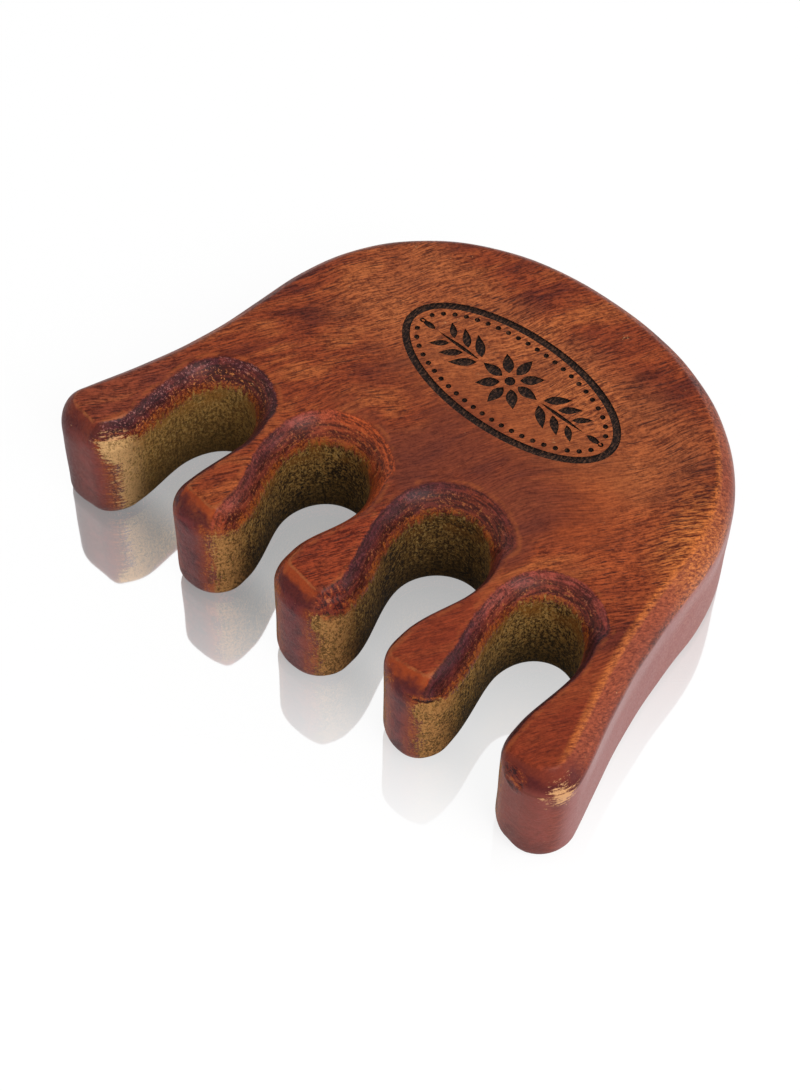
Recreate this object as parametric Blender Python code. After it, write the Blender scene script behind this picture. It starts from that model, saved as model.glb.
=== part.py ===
"""Wide-tooth hair comb, carved from one thick block of wood.

The comb lies flat on its broad underside. X runs across the teeth, the teeth point to -Y and +Z is up.
The plan is laid out from the comb's middle line (x = 0) and from the middle tooth's tip (y = 0).
At the end the comb is moved so that its origin is under the middle of its bounding box.
All sizes are in metres.
"""

import math
from collections import namedtuple

import bmesh
import bpy
from mathutils import Vector

# Block
LENGTH = 0.0738
THICKNESS = 0.0213
RIM_FACET = 0.0042
RIM_FULLNESS = 0.36
FOOT_ROUND = 0.0020

# Back, a superellipse arc from one shoulder to the other
BACK_HALF_WIDTH = 0.0410
BACK_HEIGHT = 0.0370
BACK_FULLNESS = 2.19

# Distance from one slot's middle to the next, and how wide the wood is left where two slots' mouths meet
TOOTH_PITCH = 0.0209
TIP_FLAT = 0.0005

# Flanks, which sweep outward from the shoulders to the two outer teeth: how far a tooth's tip reaches past
# the last mouth, its place along Y, its splay in degrees, how much rounder its corner is than the facet
# round it is wide, where the shoulder starts on the back in degrees, and the pulls of the curve at its ends
Flank = namedtuple("Flank", "tip_reach tip_y tip_splay corner_spare shoulder_angle shoulder_pull tip_pull")
LEFT_FLANK = Flank(0.0093, 0.0004, 19.5, 0.0004, 5.7, 0.0199, 0.0241)
RIGHT_FLANK = Flank(0.0082, -0.0004, 10.0, 0.0014, 5.9, 0.0238, 0.0150)

# Slots between the teeth, each cut by hand and so each a little unlike the next: how far its mouth and its
# bulb lie off the even pitch, the bulb, the neck, and the width of the worn flare on the left, over the bulb
# and on the right
Slot = namedtuple(
    "Slot", "mouth_off bulb_off bulb_y bulb_radius neck_half_width left_flare crest_flare right_flare",
)
SLOTS = (
    Slot(0.0003, 0.0006, 0.0148, 0.0056, 0.0055, 0.0022, 0.0029, 0.0026),
    Slot(0.0007, -0.0005, 0.0181, 0.0067, 0.0043, 0.0028, 0.0029, 0.0025),
    Slot(0.0007, 0.0003, 0.0199, 0.0073, 0.0042, 0.0028, 0.0021, 0.0017),
    Slot(0.0005, -0.0008, 0.0178, 0.0065, 0.0051, 0.0026, 0.0016, 0.0017),
)
NOSE_LENGTH = 0.0052
NECK_Y = 0.0066
BULB_LENGTH = 0.0077
FLARE_DEPTH = 0.0045
FOOT_FLARE = 0.0020
FOOT_FLARE_DEPTH = 0.0028
FLARE_BEND = 17.0

# Counts of facets
BACK_STEPS = 24
FLANK_STEPS = 12
CORNER_STEPS = 6
NOSE_STEPS = 7
WALL_STEPS = 8
BULB_STEPS = 16
ROUND_STEPS = 5

# How far a slot's cutter runs past the wood, in front of the tips and past the two broad faces
FRONT_OVERCUT = 0.003
FACE_OVERCUT = 0.0004

# Halvings of the search for where a corner's arc starts
HALVINGS = 40

# Stained and waxed wood
STAIN_COLOUR = (0.19, 0.045, 0.018, 1.0)
STAIN_ROUGHNESS = 0.42
CREASE_DEGREES = 24.0


def spread(first, last, steps):
    """Evenly spaced values from first to last, both included."""
    return [first + (last - first) * i / steps for i in range(steps + 1)]


def back_arc(flank):
    """Right half of the back, from the crown down to the shoulder."""
    centre_y = LENGTH - BACK_HEIGHT
    power = 2.0 / BACK_FULLNESS
    points = []
    for angle in spread(math.pi / 2, math.radians(flank.shoulder_angle), BACK_STEPS):
        across = max(math.cos(angle), 0.0) ** power
        along = math.sin(angle) ** power
        points.append(Vector((BACK_HALF_WIDTH * across, centre_y + BACK_HEIGHT * along)))
    return points


def shoulder_direction(flank):
    """Unit vector along the back arc where it ends at the shoulder."""
    angle = math.radians(flank.shoulder_angle)
    power = 2.0 / BACK_FULLNESS
    across = BACK_HALF_WIDTH * math.sin(angle) * math.cos(angle) ** (power - 1.0)
    along = BACK_HEIGHT * math.cos(angle) * math.sin(angle) ** (power - 1.0)
    return Vector((across, -along)).normalized()


def tip_of(flank):
    """Where a flank would meet the front if the outer tooth's corner weren't rounded, for x > 0."""
    return Vector((len(SLOTS) * TOOTH_PITCH / 2 + flank.tip_reach, flank.tip_y))


def flank_side(shoulder, flank):
    """Cubic curve from the shoulder toward the outer tooth's tip, ending in an arc that meets the front."""
    splay = math.radians(flank.tip_splay)
    corner = RIM_FACET + flank.corner_spare
    tip = tip_of(flank)
    upper = shoulder + shoulder_direction(flank) * flank.shoulder_pull
    lower = tip + Vector((-math.sin(splay), math.cos(splay))) * flank.tip_pull

    def at(t):
        s = 1.0 - t
        return shoulder * s**3 + upper * (3 * s * s * t) + lower * (3 * s * t * t) + tip * t**3

    def outward(t):
        s = 1.0 - t
        along = (upper - shoulder) * (s * s) + (lower - upper) * (2 * s * t) + (tip - lower) * (t * t)
        return Vector((-along.y, along.x)).normalized()

    def arc_centre(t):
        return at(t) - outward(t) * corner

    above, below = 0.0, 1.0
    for _ in range(HALVINGS):
        middle = (above + below) / 2
        if arc_centre(middle).y > tip.y + corner:
            above = middle
        else:
            below = middle
    side = [at(t) for t in spread(0.0, above, FLANK_STEPS)[1:]]
    start = outward(above)
    for angle in spread(math.atan2(start.y, start.x), -math.pi / 2, CORNER_STEPS)[1:]:
        side.append(arc_centre(above) + Vector((math.cos(angle), math.sin(angle))) * corner)
    return side


def half_outline(flank):
    """One side of the block, from the crown round the shoulder to the outer tooth's front, for x > 0."""
    arc = back_arc(flank)
    return arc + flank_side(arc[-1], flank)


def block_outline():
    """Closed plan of the block, clockwise from the crown. Its front is the line of the tooth tips."""
    right = half_outline(RIGHT_FLANK)
    left = [Vector((-p.x, p.y)) for p in half_outline(LEFT_FLANK)]
    return right + left[:0:-1]


def rim_edges(bm, height):
    """Edges that lie in the level plane at this height."""
    return [e for e in bm.edges if all(abs(v.co.z - height) < 1e-6 for v in e.verts)]


def make_block():
    """Bell-shaped block with a wide worn facet round its upper rim and a small round on its foot."""
    bm = bmesh.new()
    floor = bm.faces.new([bm.verts.new((p.x, p.y, 0.0)) for p in block_outline()])
    risen = bmesh.ops.extrude_face_region(bm, geom=[floor])["geom"]
    raised = [g for g in risen if isinstance(g, bmesh.types.BMVert)]
    bmesh.ops.translate(bm, verts=raised, vec=(0, 0, THICKNESS))
    for height, width, fullness in ((THICKNESS, RIM_FACET, RIM_FULLNESS), (0.0, FOOT_ROUND, 0.5)):
        bmesh.ops.bevel(
            bm, geom=rim_edges(bm, height), offset=width, offset_type="OFFSET",
            segments=ROUND_STEPS, profile=fullness, affect="EDGES", clamp_overlap=False,
        )
    bmesh.ops.recalc_face_normals(bm, faces=bm.faces)
    return finish_mesh(bm, "comb_body")


def front_line(x):
    """The slightly slanting line from one outer tooth's tip to the other's, across the plan at x."""
    left, right = tip_of(LEFT_FLANK), tip_of(RIGHT_FLANK)
    return left.y + (right.y - left.y) * (x + left.x) / (left.x + right.x)


def slot_ring(number, left, crest, right):
    """Keyhole outline of a slot, from its mouth round its bulb and back, widened this much on its sides."""
    slot = SLOTS[number]
    neck = slot.neck_half_width
    mouth = (TOOTH_PITCH - TIP_FLAT) / 2
    middle = (number - (len(SLOTS) - 1) / 2) * TOOTH_PITCH
    heights = [-FRONT_OVERCUT]
    widths = [mouth]
    for angle in spread(0.0, math.pi / 2, NOSE_STEPS):
        heights.append(NOSE_LENGTH * (1.0 - math.cos(angle)))
        widths.append(neck + (mouth - neck) * (1.0 - math.sin(angle)))
    for t in spread(0.0, 1.0, WALL_STEPS):
        heights.append(NECK_Y + (slot.bulb_y - NECK_Y) * t)
        widths.append(neck + (slot.bulb_radius - neck) * (3.0 - 2.0 * t) * t * t)

    def placed(across, y):
        x = middle + slot.mouth_off + (slot.bulb_off - slot.mouth_off) * y / slot.bulb_y + across
        return Vector((x, y + front_line(x) * max(1.0 - max(y, 0.0) / NECK_Y, 0.0)))

    right_wall = [placed(w + right, y) for y, w in zip(heights, widths)]
    left_wall = [placed(-w - left, y) for y, w in zip(heights, widths)]
    bulb = []
    for angle in spread(0.0, math.pi, BULB_STEPS)[1:-1]:
        side = right if math.cos(angle) > 0.0 else left
        flare = side + (crest - side) * math.sin(angle)
        across = (slot.bulb_radius + flare) * math.cos(angle)
        bulb.append(placed(across, slot.bulb_y + (BULB_LENGTH + flare) * math.sin(angle)))
    return right_wall + bulb + left_wall[::-1]


def worn_edge(rise, width, depth):
    """How far a worn edge draws back from its wall at this rise above its foot, on an arc that bulges."""
    bend = math.radians(FLARE_BEND)
    tilt = math.atan2(depth, width)
    radius = math.hypot(width, depth) / (2.0 * math.sin(bend))
    across = radius * math.sin(tilt + bend)
    height = -radius * math.cos(tilt + bend)
    drawn = across - math.sqrt(radius**2 - (min(rise, depth) - height) ** 2)
    return drawn + max(rise - depth, 0.0) / math.tan(tilt - bend)


def make_slot_cutter(number):
    """Solid of the space in one slot, lofted through its rings from below the foot to above the top."""
    slot = SLOTS[number]
    flares = (slot.left_flare, slot.crest_flare, slot.right_flare)
    levels = []
    for rise in [FOOT_FLARE_DEPTH + FACE_OVERCUT] + spread(FOOT_FLARE_DEPTH, 0.0, ROUND_STEPS):
        widened = [worn_edge(rise, FOOT_FLARE, FOOT_FLARE_DEPTH)] * len(flares)
        levels.append((FOOT_FLARE_DEPTH - rise, widened))
    for rise in spread(0.0, FLARE_DEPTH, ROUND_STEPS) + [FLARE_DEPTH + FACE_OVERCUT]:
        widened = [worn_edge(rise, width, FLARE_DEPTH) for width in flares]
        levels.append((THICKNESS - FLARE_DEPTH + rise, widened))
    bm = bmesh.new()
    rings = []
    for z, widened in levels:
        rings.append([bm.verts.new((p.x, p.y, z)) for p in slot_ring(number, *widened)])
    for low, high in zip(rings, rings[1:]):
        for i in range(len(low)):
            bm.faces.new((low[i - 1], low[i], high[i], high[i - 1]))
    bm.faces.new(rings[0][::-1])
    bm.faces.new(rings[-1])
    bmesh.ops.recalc_face_normals(bm, faces=bm.faces)
    return finish_mesh(bm, f"slot_cutter_{number + 1}")


def finish_mesh(bm, name):
    """New object that holds the bmesh's shape."""
    mesh = bpy.data.meshes.new(name)
    bm.to_mesh(mesh)
    bm.free()
    obj = bpy.data.objects.new(name, mesh)
    bpy.context.scene.collection.objects.link(obj)
    return obj


def cut_slots(body):
    """Cuts the slots one after another. Where two flares meet, they leave the crest along a tooth's root."""
    cutters = [make_slot_cutter(number) for number in range(len(SLOTS))]
    for cutter in cutters:
        cut = body.modifiers.new(cutter.name, "BOOLEAN")
        cut.operation = "DIFFERENCE"
        cut.solver = "EXACT"
        cut.object = cutter
    graph = bpy.context.evaluated_depsgraph_get()
    carved = bpy.data.meshes.new_from_object(body.evaluated_get(graph))
    body.modifiers.clear()
    body.data = carved
    carved.name = body.name
    for cutter in cutters:
        bpy.data.objects.remove(cutter)


def shade(body):
    """Shades the worn curves smooth and keeps the ridges where they meet crisp."""
    body.data.shade_smooth()
    body.data.set_sharp_from_angle(angle=math.radians(CREASE_DEGREES))


def stained_wood():
    """Red-brown stain under a thin coat of wax."""
    material = bpy.data.materials.new("stained_wood")
    material.use_nodes = True
    shader = material.node_tree.nodes["Principled BSDF"]
    shader.inputs["Base Color"].default_value = STAIN_COLOUR
    shader.inputs["Roughness"].default_value = STAIN_ROUGHNESS
    shader.inputs["Metallic"].default_value = 0.0
    material.diffuse_color = STAIN_COLOUR
    return material


def middle_of(points):
    """Middle of the bounding box of the plan's points."""
    xs = [p.x for p in points]
    ys = [p.y for p in points]
    return (min(xs) + max(xs)) / 2, (min(ys) + max(ys)) / 2


def main():
    for obj in list(bpy.data.objects):
        bpy.data.objects.remove(obj)
    body = make_block()
    cut_slots(body)
    shade(body)
    body.data.materials.append(stained_wood())
    x, y = middle_of(block_outline())
    body.location = (-x, -y, 0.0)


main()
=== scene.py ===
"""Looks of the carved wooden comb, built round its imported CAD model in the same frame, in metres.

One piece stands for the CAD body. It has the same plan, skinned finely enough for softened ridges, worn
corners and chips, and a burnt ornament is cut into its top face. Like the part, the plan is laid out from
the comb's middle line (x = 0) and from its middle tooth's tip (y = 0).
"""

import itertools
import math
from collections import namedtuple

import bpy
import numpy as np
from mathutils import Matrix, Vector

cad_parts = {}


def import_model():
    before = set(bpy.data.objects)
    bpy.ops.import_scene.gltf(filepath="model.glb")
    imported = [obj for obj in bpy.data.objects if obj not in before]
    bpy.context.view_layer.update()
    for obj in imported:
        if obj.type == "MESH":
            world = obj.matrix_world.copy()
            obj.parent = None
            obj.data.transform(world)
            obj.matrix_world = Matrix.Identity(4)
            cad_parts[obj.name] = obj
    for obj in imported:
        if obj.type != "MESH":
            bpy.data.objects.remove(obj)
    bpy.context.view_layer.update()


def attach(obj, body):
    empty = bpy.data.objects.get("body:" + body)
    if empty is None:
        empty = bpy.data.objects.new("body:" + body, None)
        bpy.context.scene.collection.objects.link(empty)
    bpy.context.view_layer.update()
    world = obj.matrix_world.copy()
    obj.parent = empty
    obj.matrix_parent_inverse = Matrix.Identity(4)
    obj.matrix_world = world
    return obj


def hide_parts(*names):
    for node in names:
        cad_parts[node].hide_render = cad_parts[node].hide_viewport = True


MM = 0.001
UNMOVED = UNTURNED = (0.0, 0.0, 0.0)

# Block, as in the part
LENGTH = 0.0738
THICKNESS = 0.0213
FOOT_ROUND = 0.0018
BACK_HALF_WIDTH = 0.0410
BACK_HEIGHT = 0.0370
BACK_FULLNESS = 2.19
TOOTH_PITCH = 0.0209
TIP_FLAT = 0.0005
Flank = namedtuple("Flank", "tip_reach tip_y tip_splay tip_corner shoulder_angle shoulder_pull tip_pull")
LEFT_FLANK = Flank(0.0093, 0.0004, 19.5, 0.0046, 5.7, 0.0199, 0.0241)
RIGHT_FLANK = Flank(0.0082, -0.0004, 10.0, 0.0056, 5.9, 0.0238, 0.0150)

# Slots, as in the part but for their wear: the left two bulbs are wider on their right, and all the flares are
# wider and shallower over the bulbs. Each row says how far mouth and bulb lie off the even pitch, the bulb, the
# neck, the width of the flare on the left, over the bulb and on the right, and its depth over the bulb.
Slot = namedtuple(
    "Slot",
    "mouth_off bulb_off bulb_y bulb_radius neck_half_width left_flare crest_flare right_flare crest_depth",
)
SLOTS = (
    Slot(0.0001, 0.0011, 0.0148, 0.0061, 0.0055, 0.0022, 0.0034, 0.0026, 0.0031),
    Slot(0.0005, -0.0001, 0.0181, 0.0071, 0.0043, 0.0028, 0.0036, 0.0024, 0.0036),
    Slot(0.0007, 0.0003, 0.0199, 0.0073, 0.0042, 0.0028, 0.0036, 0.0017, 0.0026),
    Slot(0.0005, -0.0008, 0.0178, 0.0065, 0.0051, 0.0026, 0.0034, 0.0017, 0.0024),
)
NOSE_LENGTH = 0.0052
NECK_Y = 0.0066
BULB_LENGTH = 0.0077
FLARE_DEPTH = 0.0045
SLOT_FOOT_ROUND = 0.0032
FRONT_OVERCUT = 0.003

# Skin: its step, its margins below and above the block, and how it is moved onto the exact field
SKIN_STEP = 0.5 * MM
MARGIN_BELOW = 1.7 * SKIN_STEP
MARGIN_ABOVE = 2.2 * SKIN_STEP
SETTLE_ROUNDS = 3
SETTLE_REACH = 0.2
LEAST_SLOPE = 0.1
SHARP_FROM = math.radians(50.0)

# Wear: facet along the rim (how far in and down, and how far down at the front), the flat top's start behind
# each tooth's tip at its left and right, the flares' widths at the left of the mouths, and how soft edges are
SLOT_REACH = 0.009
RIM_FACET = (0.0030, 0.0030)
FRONT_DROP = 0.0032
FACET_REACH = 0.010
FLAT_STARTS = ((0.0023, 0.0018), (0.0035, 0.0030), (0.0040, 0.0029), (0.0021, 0.0031), (0.0018, 0.0024))
FLAT_HALF_WIDTH = 0.003
NOSE_FLARES = (0.0040, 0.0025, 0.0036, 0.0025)
FLARE_BEND = math.radians(17.0)
RIDGE_SOFTNESS = 0.4 * MM
CORNER_SOFTNESS = 1.1 * MM
NOSE_BLEND = 2.5 * MM
FACET_CRISP = 0.4 * MM
FACET_SOFT = 1.8 * MM
FLANK_SOFT = 0.6 * MM
FLANK_START = 0.034
FLANK_FADE = 0.006
FLANK_BACK = 0.040
FLANK_BACK_FADE = 0.015

# Waves left by hand sanding: their height, and for each how fast it turns along x, y and z, and where it starts
HAND_WAVES = 0.12 * MM
WAVES = ((410, 260, 190, 0.3), (-330, 520, 350, 1.7), (640, -470, 560, 4.1), (170, 730, -620, 2.2))

# Rough spots where the wood is chipped round a knot: middle and reach, then the chips' depth and waves
CHIPPED = (
    (0.0054, 0.0034, 0.0196, 0.0030),
    (0.0418, 0.0010, 0.0182, 0.0023),
)
CHIP_DEPTH = 0.50 * MM
CHIP_WAVES = ((3900, 900, 0, 0.0), (-1100, 3300, 0, 1.0), (1700, 0, 4100, 0.0))

# Stain: how far it runs round each slot's left nose and round the others, how near the wall the wood is bare,
# and how steeply it stops there
STAINED_NOSE = (0.0051, 0.0042, 0.0040, 0.0028)
HIDDEN_NOSE = 0.0040
BARE_REACH = 0.6 * MM
BARE_STEEPNESS = 20.0

# Spots rubbed bare at the tooth tips: middle and reach
WORN_SPOTS = (
    (-0.0377, 0.0029, 0.0176, 0.0022),
    (0.0056, 0.0020, 0.0162, 0.0014),
    (0.0253, 0.0020, 0.0152, 0.0015),
    (0.0478, 0.0030, 0.0174, 0.0020),
)

# Tone of each slot's flare at these shares of its wall, from the right of its mouth round the bulb to the left:
# how dark and violet it is, and how orange
FLARE_STATIONS = (0.15, 0.35, 0.50, 0.65, 0.80, 0.92)
FLARE_DARKNESS = (
    (1.0, 1.0, 0.8, 0.6, 0.8, 0.9),
    (0.8, 0.4, 0.1, 0.6, 0.6, 0.4),
    (0.7, 0.9, 0.8, 0.8, 1.0, 0.7),
    (0.9, 1.0, 0.4, 0.3, 1.2, 1.2),
)
FLARE_WARMTH = (
    (0.0, 0.0, 0.1, 0.1, 0.0, 0.2),
    (0.5, 0.8, 0.9, 0.1, 0.3, 0.5),
    (0.3, 0.3, 0.4, 0.1, 0.1, 0.5),
    (0.1, 0.0, 0.2, 0.2, 0.0, 0.0),
)

# Zones of the wood's colour: the product of soft steps, each over a measure, from none to full, in millimetres
ZONES = {
    "sunny": (("behind", 35, 47), ("behind", 65, 58), ("right", -36, -26), ("right", 34, 26)),
    "russet": (("behind", 28, 34), ("behind", 46, 42), ("right", 17, 23), ("right", 38, 31)),
    "teeth": (("behind", 24, 14), ("right", -24, 2)),
    "left tooth": (("behind", 24, 14), ("right", -28, -36)),
    "smooth teeth": (("behind", 28, 18), ("right", 12, 20)),
    "slope": (("rim", 0.2, 0.7), ("rim", 3.2, 2.5), ("right", 22, 34), ("behind", 3, 8)),
    # Where the right flank's flat top meets its facet: a line that is partly worn stain and partly a painted
    # highlight
    "edge": (("rim", 2.3, 2.7), ("rim", 3.9, 3), ("right", 22, 34), ("behind", 3, 8)),
    "shoulder": (("right", 24, 34), ("behind", 34, 42), ("behind", 58, 46), ("rim", 11, 4)),
    "calm": (("behind", 58, 42), ("right", -22, -6), ("right", 32, 22), ("rim", 5, 12)),
    "dusky": (("behind", 44, 35),),
    "low wall": (("rim", 0.6, 0.2), ("height", 16, 13)),
    "tip": (("behind", 9, 5),),
    "near tip": (("behind", 8.5, 5.5),),
    "not last tip": (("right", 40, 34),),
    "front": (("behind", 3, 0.8), ("height", 19.2, 17.4), ("rim", 2.4, 1)),
    "right front": (("right", 30, 36),),
    "left front": (("right", -30, -36),),
    "far left front": (("right", -40, -46.5),),
    "dark left front": (("right", -40, -46),),
    # Where the right flank's wall gets its painted sheen, a pale mauve haze over the stain
    "painted sheen wall": (("height", 17.6, 16.8), ("right", 26, 34), ("rim", 1.6, 0.6), ("behind", 1.5, 5)),
    "seam": (("right", 32, 38), ("behind", 34, 24), ("rim", 1.2, 0.6)),
    "nose": (("behind", 6.5, 4),),
    "satin": (("height", 11, 15), ("height", 20, 18), ("rim", 2.2, 0.8), ("behind", 5, 12)),
    "crack": (("behind", 3.4, 2.6), ("right", 22, 22.8), ("right", 26.4, 25.6)),
    "raw left": (("right", -17, -29),),
    "raw middle": (("right", -26, -17), ("right", 19, 10)),
    "second bulb": (("right", -9, -1),),
    "raw nose": (("behind", 9, 1.5),),
}

# Colours, in linear red, green and blue. A pair of tones multiplies a colour, from its darkest to its palest.
DEEP_RED = (0.1, 0.014, 0.0075)
RED_BROWN = (0.22, 0.037, 0.0115)
ORANGE_BROWN = (0.36, 0.088, 0.025)
SUNNY = (0.37, 0.098, 0.032)
RUSSET = (0.37, 0.072, 0.02)
TOOTH_RED = (0.205, 0.026, 0.0095)
LEFT_TOOTH = (0.17, 0.034, 0.02)
SLOPE_COLOURS = (0.16, 0.025, 0.014), (0.33, 0.07, 0.028)
SHOULDER = (0.46, 0.13, 0.032)
# Edge line of the right flank's top: partly worn stain and partly a painted highlight
RIM_EDGE_WEAR_AND_HIGHLIGHT = (0.42, 0.105, 0.024)
DUSKY = (0.145, 0.032, 0.018)
PORE = (0.036, 0.007, 0.005)
FIBRE_TONES = (0.36, 0.28, 0.32), (1.64, 1.82, 1.74)
FLARE_COLOURS = (0.2, 0.034, 0.024), (0.04, 0.006, 0.01)
FLARE_GLOW = (0.32, 0.052, 0.011)
FLARE_FOOT = (0.085, 0.014, 0.006)
FLARE_TONES = (0.3, 0.26, 0.28), (1.85, 1.95, 1.8)
# Specks on the flares: pale pink painted glints of sheen, and orange specks of the wood
SPECK_AND_GLINT_COLOURS = (0.43, 0.18, 0.16), (0.56, 0.2, 0.056)
RAW_COLOURS = (0.034, 0.016, 0.004), (0.42, 0.225, 0.062)
# Painted shade at the foot of the bare slot walls
RAW_FOOT_SHADE = (0.026, 0.018, 0.006)
RAW_TOP = (0.25, 0.098, 0.018)
RAW_LEFT = (0.34, 0.185, 0.052)
RAW_MIDDLE = (0.036, 0.016, 0.005)
DARK_GRIT = (0.02, 0.012, 0.004)
PALE_GRIT = (0.48, 0.3, 0.1)
PIT = (0.012, 0.007, 0.004)
SAND_COLOURS = (0.69, 0.4, 0.175), (0.51, 0.24, 0.078)
TIP_COLOURS = (0.33, 0.052, 0.011), (0.17, 0.026, 0.013)
TIP_FRONT = (0.075, 0.01, 0.011)
TIP_TONES = (0.6, 0.5, 0.5), (1.4, 1.5, 1.5)
TIP_EDGE = (0.43, 0.13, 0.042)
# Line along the flares' ridges: partly worn stain and partly a painted highlight
FLARE_RIDGE_WEAR_AND_HIGHLIGHT = (0.4, 0.1, 0.028)
FRONT_COLOURS = (0.072, 0.01, 0.013), (0.18, 0.03, 0.03)
RIGHT_FRONT = (0.32, 0.076, 0.05)
LEFT_FRONT_COLOURS = (0.36, 0.07, 0.036), (0.105, 0.022, 0.022)
# Painted shade at the foot of the tooth fronts
FRONT_FOOT_SHADE = (0.03, 0.006, 0.008)
FRONT_GLOW = (0.25, 0.04, 0.014)
# Painted sheen of the right flank's wall: pale mauve tones laid over the stain
SIDE_WALL_SHEEN_COLOURS = (0.255, 0.088, 0.08), (0.345, 0.14, 0.13)
SEAM = (0.15, 0.03, 0.018)
EMBER_COLOURS = (0.085, 0.011, 0.006), (0.38, 0.092, 0.016)
RUBBED = (0.69, 0.36, 0.16)
SPLINTER_COLOURS = (0.022, 0.004, 0.005), (0.17, 0.024, 0.012)
SPLINTER_EDGE = (0.4, 0.095, 0.024)
CRACK = (0.018, 0.004, 0.004)
CHAR_COLOURS = (0.009, 0.0045, 0.004), (0.1, 0.045, 0.026)
WHITE = (1.0, 1.0, 1.0)
FLOOR_GREY = (0.5, 0.5, 0.5)

# What the body's points hold for the wood, in millimetres or from 0 to 1: how far past the stain's edge and past
# a flare's ridge they lie, how far along a slot's wall (the next slot's starts a stride on), how near a rubbed or
# a chipped spot, whether beside a slot, how far in from the rim and onto the flat top, and the flare's tone
MEASURES = ("bare", "ridge", "along", "worn", "chipped", "beside", "rim", "flat", "dark", "warm")
SLOT_STRIDE = 100.0

# Relief and shine of the wood, and the grain's direction and drift
GRAIN_TURN = math.radians(60.0)
GRAIN_DRIFT = (11.0, 11.0, 5.0)
WOOD_RELIEF = 0.06 * MM
BURNT_RELIEF = 0.1 * MM
WOOD_SPECULAR = 0.10
BURNT_SPECULAR = 0.15
COAT_ROUGHNESS = 0.28
RAW_ROUGHNESS = 0.85

# Burnt ornament on the top face: an oval border, a row of beads, an eight-petal rosette and two leafy sprigs
ORNAMENT = {
    "Half Length": 0.0190,
    "Half Width": 0.0090,
    "Stroke": 0.0012,
    "Bead Count": 46,
    "Bead Inset": 0.0017,
    "Bead Radius": 0.00042,
    "Petal Count": 8,
    "Petal Start": 0.0015,
    "Petal Length": 0.0037,
    "Petal Width": 0.0017,
    "Leaf Pairs": 3,
    "Sprig Start": 0.0060,
    "Leaf Step": 0.0027,
    "Leaf Gap": 0.0006,
    "Leaf Length": 0.0043,
    "Leaf Width": 0.0015,
    "Leaf Angle": math.radians(42.0),
    "Leaf Shrink": 0.14,
    "Stem Width": 0.0006,
    "Cutter Height": 0.0030,
}
ORNAMENT_PLACE = (-0.0007, 0.0124)
ORNAMENT_DEPTH = 0.35 * MM
HEART_SHARE = 0.55
END_LEAF_SIZE = 0.65
LEAF_TAPER = 0.35
OVAL_POINTS = 120
LEAF_POINTS = 22
DOT_POINTS = 12

# Studio: how bright the surroundings are at the horizon and overhead, the band of heights between them, and the
# lamps, with their power in watts and the direction that they shine from in degrees
HORIZON_LIGHT = 1.0
CEILING_LIGHT = 0.25
LIGHT_BAND = (0.25, 0.80)
Lamp = namedtuple("Lamp", "name size power azimuth elevation away")
LAMPS = (
    Lamp("key", 0.50, 4.1, 80.0, 50.0, 0.8),
    Lamp("side", 0.40, 1.0, 116.0, 14.0, 0.9),
)

# Floor, a polished sheet: where its polish fades out and is full, along Y minus X, its full mirror share, how
# much of that is left in the slots and where along Y it changes, and how white its matt part looks
FLOOR_HALF_SIZE = 2.0
FLOOR_GAP = 0.05 * MM
FLOOR_DULL = -0.092
FLOOR_BRIGHT = 0.0
FLOOR_MIRROR = 0.75
SLOT_MIRROR = 0.76
SLOT_MIRROR_FADE = (-0.033, -0.026)
FLOOR_GLOW = 1.03
FLOOR_GLOW_SHARE = 0.85
FLOOR_ROUGHNESS = 0.04

# Camera, as fitted to the photograph: degrees and metres
CAMERA_AZIMUTH = 40.774
CAMERA_ELEVATION = 55.809
CAMERA_ROLL = 1.388
CAMERA_DISTANCE = 0.367677
CAMERA_TARGET = (-0.002546, -0.009424, 0.0)
CAMERA_LENS = 80.16
CAMERA_CLIP_START = 0.01


def tip_of(flank):
    """Where a flank would meet the front if the outer tooth's corner weren't rounded, for x > 0."""
    return np.array([len(SLOTS) * TOOTH_PITCH / 2 + flank.tip_reach, flank.tip_y])


def flank_side(shoulder, heading, flank):
    """Cubic curve from the shoulder toward the outer tooth's tip, ending in an arc that meets the front."""
    splay = math.radians(flank.tip_splay)
    tip = tip_of(flank)
    upper = shoulder + heading * flank.shoulder_pull
    lower = tip + np.array([-math.sin(splay), math.cos(splay)]) * flank.tip_pull

    def at(t):
        s = 1.0 - t
        return shoulder * s**3 + upper * (3 * s * s * t) + lower * (3 * s * t * t) + tip * t**3

    def outward(t):
        s = 1.0 - t
        along = (upper - shoulder) * (s * s) + (lower - upper) * (2 * s * t) + (tip - lower) * (t * t)
        return np.array([-along[1], along[0]]) / np.hypot(*along)

    def arc_centre(t):
        return at(t) - outward(t) * flank.tip_corner

    above, below = 0.0, 1.0
    for _ in range(40):
        middle = (above + below) / 2
        if arc_centre(middle)[1] > tip[1] + flank.tip_corner:
            above = middle
        else:
            below = middle
    start = outward(above)
    side = [at(t) for t in np.linspace(0.0, above, 41)[1:]]
    for angle in np.linspace(math.atan2(start[1], start[0]), -math.pi / 2, 15)[1:]:
        side.append(arc_centre(above) + np.array([math.cos(angle), math.sin(angle)]) * flank.tip_corner)
    return side


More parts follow.
